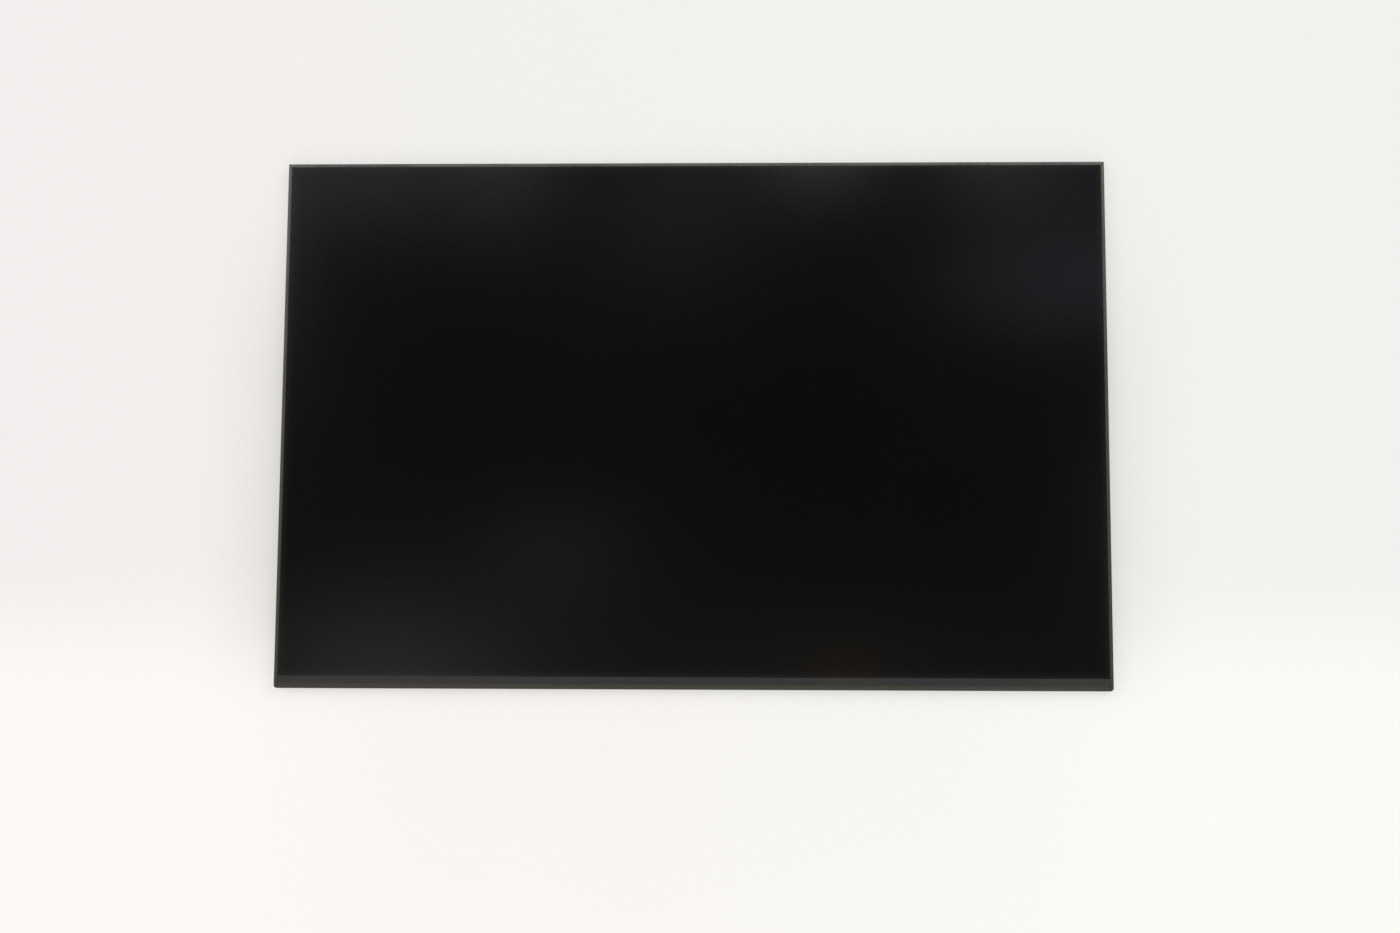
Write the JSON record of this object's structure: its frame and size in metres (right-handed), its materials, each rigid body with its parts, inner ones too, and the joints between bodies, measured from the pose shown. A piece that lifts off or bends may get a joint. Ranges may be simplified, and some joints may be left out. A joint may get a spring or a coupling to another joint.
{
  "type": "laptop screen panel",
  "caption": "Thin bare laptop display panel: matt black screen with narrow borders, pressed metal back and a control board with a cable socket folded behind the bottom edge.",
  "frame": {"origin": "middle of the outline, on the surface that the panel lies on, which touches the board's cover film and the socket", "axes": "+X to the right along the width as seen from the front, +Y towards the panel's top edge, +Z out of the screen"},
  "size_m": [0.307, 0.1974, 0.0042],
  "materials": {
    "plate_metal": "thin pressed sheet, satin mill finish",
    "frame_plastic": "moulded, fine matt grain",
    "reflector_white": "matt white foamed film",
    "guide_clear": "clear acrylic, polished",
    "diffuser_milky": "milky film, matt both sides",
    "prism_film": "fine straight prisms with a silky sheen",
    "flex_amber": "amber film over copper tracks",
    "flex_white": "white lacquered flexible circuit",
    "diode_body": "white body with a yellow window",
    "clear_tape": "clear double-sided tape",
    "black_tape": "matt black tape",
    "edge_tape": "matt dark olive-grey tape",
    "cover_tape": "satin charcoal tape",
    "panel_glass": "thin clear glass with ground edges",
    "mask_glass": "thin glass, black behind",
    "rear_film": "dark film, smooth",
    "screen_film": "black, anti-glare",
    "chip_silicon": "bare chip, dark mirror sheen",
    "board_green": "green lacquered circuit board",
    "chip_black": "moulded, fine matt",
    "ferrite": "pressed powder, dull",
    "ceramic_tan": "fired ceramic with tinned ends",
    "resistor_black": "lacquered, with tinned ends",
    "cover_film": "matt black insulating film",
    "socket_plastic": "natural moulded",
    "socket_steel": "thin folded sheet",
    "contact_gold": "gilded",
    "foil": "thin crinkled foil"
  },
  "bodies": {
    "root": {"rear_plate": "plate_metal", "mid_frame": "frame_plastic", "reflector_sheet": "reflector_white", "light_guide": "guide_clear", "lower_diffuser": "diffuser_milky", "lower_prism_sheet": "prism_film", "upper_prism_sheet": "prism_film", "upper_diffuser": "diffuser_milky", "light_bar_flex": "flex_white", "light_bar_leds": "diode_body", "light_bar_tape": "clear_tape", "cell_tape": "black_tape", "rear_polarizer": "rear_film", "array_glass": "panel_glass", "filter_glass": "mask_glass", "front_polarizer": "screen_film", "edge_tape_left": "edge_tape", "edge_tape_right": "edge_tape", "edge_tape_top": "edge_tape", "bottom_tape": "cover_tape", "driver_film_1": "flex_amber", "driver_film_2": "flex_amber", "driver_film_3": "flex_amber", "driver_film_4": "flex_amber", "driver_chip_1": "chip_silicon", "driver_chip_2": "chip_silicon", "driver_chip_3": "chip_silicon", "driver_chip_4": "chip_silicon", "control_board": "board_green", "board_tape": "black_tape", "board_cover": "cover_film", "timing_controller": "chip_black", "power_chip": "chip_black", "level_shifter": "chip_black", "backlight_driver": "chip_black", "settings_memory": "chip_black", "inductors": "ferrite", "rectifier_diodes": "chip_black", "large_capacitors": "ceramic_tan", "small_capacitors": "ceramic_tan", "resistors": "resistor_black", "socket_housing": "socket_plastic", "socket_shell": "socket_steel", "socket_contacts": "contact_gold", "ground_foil_left": "foil", "ground_foil_right": "foil"}
  },
  "joints": []
}
